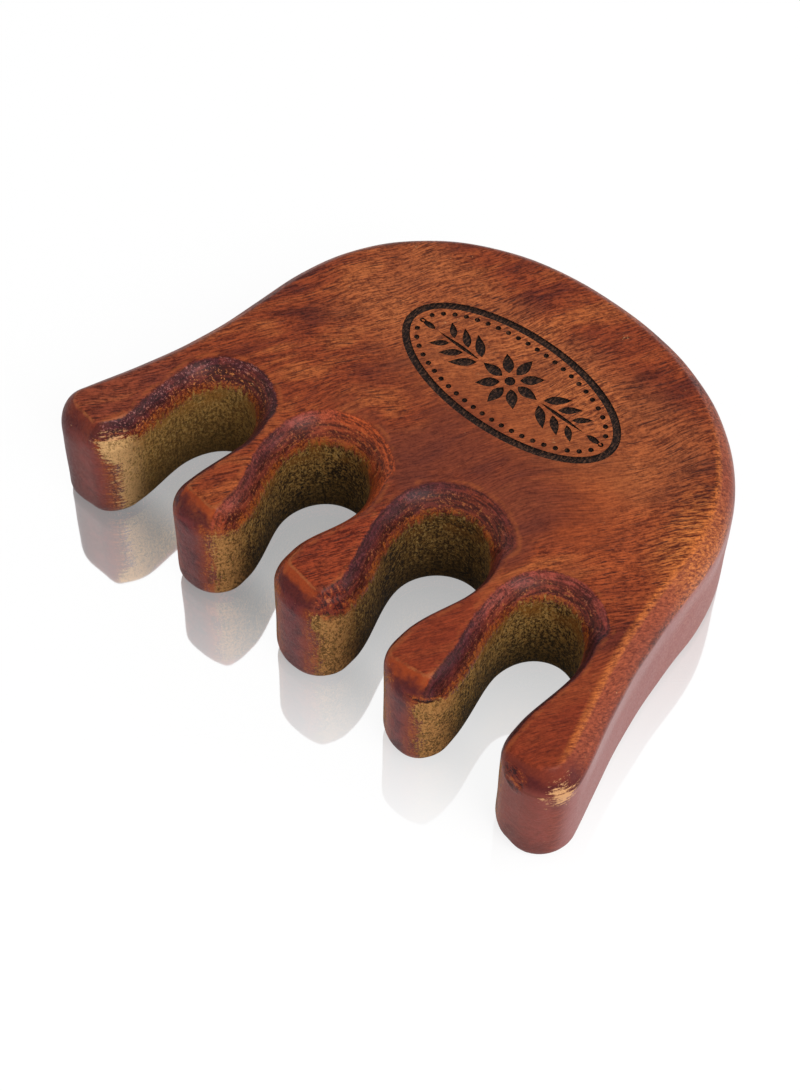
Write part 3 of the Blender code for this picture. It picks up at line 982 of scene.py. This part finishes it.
def stained_wood():
    """Waxed red-brown stain, which ends in an orange fringe on the slots' raw olive walls."""
    material, nodes = new_material("stained_wood", WoodNodes)
    coarse, fine = nodes.coarse, nodes.fine
    wood, strokes, pores = figured_wood(nodes)
    wood = tipped(nodes, wood)
    flare, grainy = flared_wood(nodes)
    in_flare = nodes.between(nodes.ridge + (coarse - 0.5) * 0.8 + (fine - 0.5) * 0.6, 0.10, -0.20)
    in_flare = in_flare * nodes.beside
    wood = edged(nodes, nodes.mix(in_flare * 0.93, wood, flare))
    # Paler orange line along the flares' ridges, partly worn stain and partly a painted highlight
    ridge_wear_and_highlight = nodes.between(abs(nodes.ridge - 0.45 + (fine - 0.5) * 0.8), 0.50, 0.05)
    ridge_wear_and_highlight = ridge_wear_and_highlight * nodes.beside * nodes.between(coarse, 0.44, 0.60)
    wood = nodes.mix(ridge_wear_and_highlight * 0.4, wood, FLARE_RIDGE_WEAR_AND_HIGHLIGHT)
    wood = flanked(nodes, fronted(nodes, wood))

    raw, texture, pitted = raw_wood(nodes)
    bristle = nodes.streaks(nodes.mm, (0.40, 0.40, 2.8), 3.0, 0.75, turn=(0.0, 0.0, -0.2))
    hang = nodes.streaks(nodes.round_slot, (1.8, 0.25, 1.0), 3.0, 0.7)
    nose = nodes.zone("nose") * nodes.between(nodes.right, -28.0, -34.0, 0.25, 1.0)
    ragged = (hang + (bristle - hang) * nose - 0.5) * (6.0 + nose * 3.0)
    ragged = nodes.bare + nodes.worn * 4.5 + ragged + (fine - 0.5) * 4.2
    bare = nodes.between(ragged, -0.4, 0.6)
    ember = nodes.mix(nodes.between(fine * 0.6 + coarse * 0.4, 0.42, 0.56), *EMBER_COLOURS)
    rubbed = nodes.between(nodes.worn + (bristle - 0.5) * 2.2 + (fine - 0.5) * 1.0, 0.45, 0.85)
    fringe = nodes.between(ragged, -2.0, -0.5)
    wood = nodes.layered(wood, (fringe * 0.8, ember), (bare, raw), (rubbed * (1.0 - bare) * 0.9, RUBBED))
    wood, splinters = chipped_wood(nodes, wood)
    crack = crack_in_tip(nodes)
    wood = nodes.mix(crack, wood, CRACK)

    stained = 1.0 - bare
    waxed = 0.06 + 0.07 * in_flare + 0.02 * nodes.between(nodes.rim, 3.0, 0.6) + 0.25 * nodes.zone("satin")
    rough = nodes.between(strokes, 0.0, 1.0, 0.55, 0.42)
    relief = (strokes * 0.5 - pores * 0.8) * stained + bare * (texture * 1.6 - pitted * 2.0)
    relief = relief + in_flare * grainy - crack * 3.0 + splinters * 3.0
    shader = nodes.tree.nodes["Principled BSDF"]
    nodes.feed(shader.inputs["Base Color"], wood)
    nodes.feed(shader.inputs["Roughness"], rough + (RAW_ROUGHNESS - rough) * bare)
    nodes.feed(shader.inputs["Coat Weight"], stained * waxed * (1.0 - crack))
    nodes.feed(shader.inputs["Normal"], nodes.bump(relief, WOOD_RELIEF))
    shader.inputs["Specular IOR Level"].default_value = WOOD_SPECULAR
    shader.inputs["Coat Roughness"].default_value = COAT_ROUGHNESS
    return material


def burnt_wood():
    """Charred floor and walls of the ornament, hatched by the tool that burnt it."""
    material, nodes = new_material("burnt_wood")
    mm = nodes.place_in_comb()
    hatch = nodes.streaks(mm, (4.2, 0.9, 1.0), 2.0, 0.7, turn=(0.0, 0.0, 0.9))
    ash = nodes.noise(mm, 2.4, 3.0, 0.75)
    char = nodes.between(hatch * 0.5 + ash * 0.5, 0.47, 0.62)
    shader = nodes.tree.nodes["Principled BSDF"]
    nodes.feed(shader.inputs["Base Color"], nodes.mix(char, *CHAR_COLOURS))
    nodes.feed(shader.inputs["Roughness"], nodes.between(ash, 0.4, 0.6, 0.85, 0.60))
    nodes.feed(shader.inputs["Normal"], nodes.bump(hatch, BURNT_RELIEF))
    shader.inputs["Specular IOR Level"].default_value = BURNT_SPECULAR
    return material


def leaf_solid(nodes, length, width, height):
    """Solid with a pointed leaf's plan, from its stalk at the origin along X."""
    sockets = {"Vertices": LEAF_POINTS, "Radius": 1.0, "Depth": height}
    disc = nodes.add("GeometryNodeMeshCylinder", None, sockets)
    x, y, z = nodes.parts(nodes.add("GeometryNodeInputPosition"))
    swell = y * abs(y) * (1.0 - x * LEAF_TAPER) * width * 0.5
    shaped = nodes.vector((x + 1.0) * length * 0.5, swell, z)
    return nodes.add("GeometryNodeSetPosition", None, {"Geometry": disc, "Position": shaped})


def dot_solid(nodes, radius, height):
    """Solid of a round dot."""
    sockets = {"Vertices": DOT_POINTS, "Radius": radius, "Depth": height}
    return nodes.add("GeometryNodeMeshCylinder", None, sockets)


def copies(nodes, piece, count, across, up, turn, size=1.0):
    """Copies of a piece, each placed, turned and sized by values that may follow the Index node."""
    spot = nodes.vector(across, up, 0.0)
    points = nodes.add("GeometryNodePoints", None, {"Count": count, "Position": spot})
    spin = nodes.vector(0.0, 0.0, turn)
    sockets = {"Points": points, "Instance": piece, "Rotation": spin, "Scale": nodes.vector(size, size, 1.0)}
    return nodes.add("GeometryNodeInstanceOnPoints", None, sockets)


def joined(nodes, *pieces):
    """Several pieces as one geometry."""
    join = nodes.add("GeometryNodeJoinGeometry")
    for piece in pieces:
        nodes.feed(join.socket.node.inputs[0], piece)
    return join


def bordered(nodes, size, height):
    """Solids of the oval border and the row of beads in it."""
    circle = nodes.add("GeometryNodeCurvePrimitiveCircle", None, {"Resolution": OVAL_POINTS, "Radius": 1.0})
    ovals = []
    for inset in (0.0, size["Bead Inset"]):
        scale = nodes.vector(size["Half Length"] - inset, size["Half Width"] - inset, 1.0)
        ovals.append(nodes.add("GeometryNodeTransform", None, {"Geometry": circle, "Scale": scale}))
    level = nodes.add("GeometryNodeSetCurveNormal", None, {"Curve": ovals[0]})
    level.socket.node.mode = "Z_UP"
    profile = {"Width": size["Stroke"], "Height": height}
    stroke = nodes.add("GeometryNodeCurvePrimitiveQuadrilateral", None, profile)
    border = nodes.add("GeometryNodeCurveToMesh", None, {"Curve": level, "Profile Curve": stroke})
    spread = {"Curve": ovals[1], "Count": size["Bead Count"]}
    row = nodes.add("GeometryNodeCurveToPoints", {"mode": "COUNT"}, spread)
    bead = dot_solid(nodes, size["Bead Radius"], height)
    return border, nodes.add("GeometryNodeInstanceOnPoints", None, {"Points": row, "Instance": bead})


def flowered(nodes, size, height, index):
    """Solids of the rosette's petals and heart, and of the two sprigs."""
    turn = index * (2.0 * math.pi) / size["Petal Count"]
    petal = leaf_solid(nodes, size["Petal Length"], size["Petal Width"], height)
    out = size["Petal Start"]
    across, up = out * turn.math("COSINE", turn), out * turn.math("SINE", turn)
    rosette = copies(nodes, petal, size["Petal Count"], across, up, turn)
    heart = dot_solid(nodes, out * HEART_SHARE, height)

    pair = index.math("FLOOR", index * 0.5)
    side = (index - pair * 2.0) * 2.0 - 1.0
    leaf = leaf_solid(nodes, size["Leaf Length"], size["Leaf Width"], height)
    first, step = size["Sprig Start"], size["Leaf Step"]
    across, up = first + step * pair, side * size["Leaf Gap"]
    shrunk = 1.0 - size["Leaf Shrink"] * pair
    leaves = copies(nodes, leaf, size["Leaf Pairs"] * 2, across, up, side * size["Leaf Angle"], shrunk)
    run = step * size["Leaf Pairs"]
    stem = copies(nodes, leaf_solid(nodes, run, size["Stem Width"], height), 1, first, 0.0, 0.0)
    end_leaf = copies(nodes, leaf, 1, first + run + size["Leaf Gap"], 0.0, 0.0, END_LEAF_SIZE)
    sprig = joined(nodes, leaves, stem, end_leaf)
    return rosette, heart, copies(nodes, sprig, 2, 0.0, 0.0, index * math.pi)


def ornament_tree(material):
    """Geometry Nodes tree of the ornament's solids, with one named input for each of its sizes."""
    tree = bpy.data.node_groups.new("burnt_ornament", "GeometryNodeTree")
    tree.interface.new_socket("Geometry", in_out="OUTPUT", socket_type="NodeSocketGeometry")
    for name, value in ORNAMENT.items():
        kind = "NodeSocketInt" if isinstance(value, int) else "NodeSocketFloat"
        tree.interface.new_socket(name, in_out="INPUT", socket_type=kind)
    nodes = Nodes(tree)
    size = {name: nodes.add("NodeGroupInput", None, None, name) for name in ORNAMENT}
    index = nodes.add("GeometryNodeInputIndex")
    height = size["Cutter Height"]
    whole = joined(nodes, *bordered(nodes, size, height), *flowered(nodes, size, height, index))
    whole = nodes.add("GeometryNodeRealizeInstances", None, {"Geometry": whole})
    whole = nodes.add("GeometryNodeSetMaterial", None, {"Geometry": whole, "Material": material})
    nodes.feed(tree.nodes.new("NodeGroupOutput").inputs["Geometry"], whole)
    return tree


def ornament_cutter(material):
    """Mesh of the ornament's solids, sunk into the top face by the depth of the burn."""
    cutter = add_object("ornament", np.zeros((1, 3)), np.zeros((0, 3), int))
    tree = ornament_tree(material)
    burn = cutter.modifiers.new("ornament", "NODES")
    burn.node_group = tree
    for item in tree.interface.items_tree:
        if item.in_out == "INPUT":
            burn[item.identifier] = ORNAMENT[item.name]
    graph = bpy.context.evaluated_depsgraph_get()
    solids = bpy.data.meshes.new_from_object(cutter.evaluated_get(graph))
    cutter.modifiers.clear()
    rise = THICKNESS - ORNAMENT_DEPTH + ORNAMENT["Cutter Height"] / 2.0
    solids.transform(Matrix.Translation((*ORNAMENT_PLACE, rise)))
    cutter.data = solids
    return cutter


def burn_ornament(body):
    """Cuts the ornament into the body's top face."""
    cutter = ornament_cutter(burnt_wood())
    burn = body.modifiers.new("ornament", "BOOLEAN")
    burn.operation = "DIFFERENCE"
    burn.solver = "MANIFOLD"
    burn.material_mode = "TRANSFER"
    burn.object = cutter
    graph = bpy.context.evaluated_depsgraph_get()
    carved = bpy.data.meshes.new_from_object(body.evaluated_get(graph))
    body.modifiers.clear()
    body.data = carved
    bpy.data.objects.remove(cutter)


def near_spots(points, spots):
    """How near each point is to the nearest of some spots: 1 at its middle, and 0 at twice its reach."""
    near = np.zeros(len(points))
    for x, y, height, reach in spots:
        near = np.maximum(near, 1.0 - np.linalg.norm(points - (x, y, height), axis=1) / (2.0 * reach))
    return near


def wall_length(ring):
    """Length of a slot's wall from one end of its ring to the other."""
    return np.hypot(*np.diff(ring, axis=0).T).sum()


def mark_body(body):
    """Gives the body's points the measures that its wood reads."""
    count = len(body.data.vertices)
    points = np.zeros(count * 3)
    body.data.vertices.foreach_get("co", points)
    points = points.reshape(-1, 3) + plan_origin()
    plan = CombPlan(points[:, :2])
    depths, alongs, drops = (np.array([slot[i] for slot in plan.slots]) for i in range(3))
    nearest = np.argmin(depths, axis=0)
    depth, along, drop = (values[nearest, np.arange(count)] for values in (depths, alongs, drops))
    lengths = np.array([wall_length(slot_ring(slot)) for slot in SLOTS])[nearest]
    from_corner = np.minimum(along, lengths - along) - FRONT_OVERCUT
    kept = np.where(along > lengths / 2, np.array(STAINED_NOSE)[nearest], HIDDEN_NOSE)
    below_flare = THICKNESS - drop - points[:, 2]
    bare = np.minimum.reduce([below_flare, from_corner - kept, (BARE_REACH - depth) * BARE_STEEPNESS])
    worn, chipped = (near_spots(points, spots) for spots in (WORN_SPOTS, CHIPPED))
    dark, warm = (
        np.choose(nearest, [np.interp(along / lengths, FLARE_STATIONS, tones) for tones in table])
        for table in (FLARE_DARKNESS, FLARE_WARMTH)
    )
    values = (
        bare / MM, plan.ridge / MM, along / MM + SLOT_STRIDE * nearest, worn, chipped,
        plan.beside_slot, plan.rim / MM, plan.flat / MM, dark, warm,
    )
    for name, value in zip(MEASURES, values):
        layer = body.data.attributes.new(name, "FLOAT", "POINT")
        layer.data.foreach_set("value", value.astype(np.float32))


def seen_directly(nodes):
    """1 for rays that the camera sees straight, mirrored or through glass, and 0 for the light's."""
    names = ("Is Camera Ray", "Is Glossy Ray", "Is Transmission Ray")
    camera, glossy, through = (nodes.add("ShaderNodeLightPath", None, None, name) for name in names)
    return camera.at_least(glossy).at_least(through)


def add_lamp(lamp):
    """Round soft lamp that shines on the comb."""
    data = bpy.data.lights.new(lamp.name, "AREA")
    data.shape = "DISK"
    data.size = lamp.size
    data.energy = lamp.power
    obj = bpy.data.objects.new(lamp.name, data)
    bpy.context.scene.collection.objects.link(obj)
    direction = toward(lamp.azimuth, lamp.elevation)
    obj.location = direction * lamp.away
    obj.rotation_euler = direction.to_track_quat("Z", "Y").to_euler()


def light_world():
    """White surroundings that light the comb most from near the horizon."""
    world = bpy.data.worlds.new("studio")
    bpy.context.scene.world = world
    world.use_nodes = True
    nodes = Nodes(world.node_tree)
    up = nodes.parts(nodes.add("ShaderNodeTexCoord", None, None, "Generated"))[2]
    soft = nodes.between(up, *LIGHT_BAND, HORIZON_LIGHT, CEILING_LIGHT)
    background = nodes.tree.nodes["Background"]
    nodes.feed(background.inputs["Color"], WHITE)
    nodes.feed(background.inputs["Strength"], seen_directly(nodes).at_least(soft))


def pale_floor():
    """White floor that mirrors the comb like a polished sheet, and gives back only a grey floor's light."""
    material, nodes = new_material("pale_floor")
    across, away, _ = nodes.parts(nodes.add("ShaderNodeTexCoord", None, None, "Object"))
    mirrored = nodes.between(away - across, FLOOR_DULL, FLOOR_BRIGHT, 0.0, FLOOR_MIRROR)
    mirrored = mirrored * nodes.between(away, *SLOT_MIRROR_FADE, 1.0, SLOT_MIRROR)
    matt = nodes.add("ShaderNodeBsdfDiffuse", None, {"Color": FLOOR_GREY})
    shadowed = nodes.add("ShaderNodeBsdfDiffuse", None, {"Color": WHITE})
    white = nodes.add("ShaderNodeEmission", None, {"Color": WHITE, "Strength": FLOOR_GLOW})
    sheen = nodes.add("ShaderNodeBsdfGlossy", None, {"Roughness": FLOOR_ROUGHNESS, "Color": WHITE})
    looks = nodes.add("ShaderNodeMixShader", None, {0: FLOOR_GLOW_SHARE, 1: shadowed, 2: white})
    looks = nodes.add("ShaderNodeMixShader", None, {0: mirrored, 1: looks, 2: sheen})
    surface = nodes.add("ShaderNodeMixShader", None, {0: seen_directly(nodes), 1: matt, 2: looks})
    nodes.feed(nodes.tree.nodes["Material Output"].inputs["Surface"], surface)
    return material


def light_studio():
    """Soft lamps in white surroundings, and a pale floor."""
    light_world()
    for lamp in LAMPS:
        add_lamp(lamp)
    half = FLOOR_HALF_SIZE
    corners = [(x, y, -FLOOR_GAP) for x, y in ((-half, -half), (half, -half), (half, half), (-half, half))]
    floor = add_object("floor", np.array(corners), np.array([[0, 1, 2, 3]]))
    floor.data.materials.append(pale_floor())


def main():
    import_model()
    points, quads = carve_body()
    body = add_object("carved_body", points - plan_origin(), quads)
    body.data.materials.append(stained_wood())
    burn_ornament(body)
    mark_body(body)
    body.data.shade_smooth()
    body.data.set_sharp_from_angle(angle=SHARP_FROM)
    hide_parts("comb_body")
    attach(body, "root")
    light_studio()
    set_camera()
    bpy.context.scene.view_settings.view_transform = "Standard"


main()
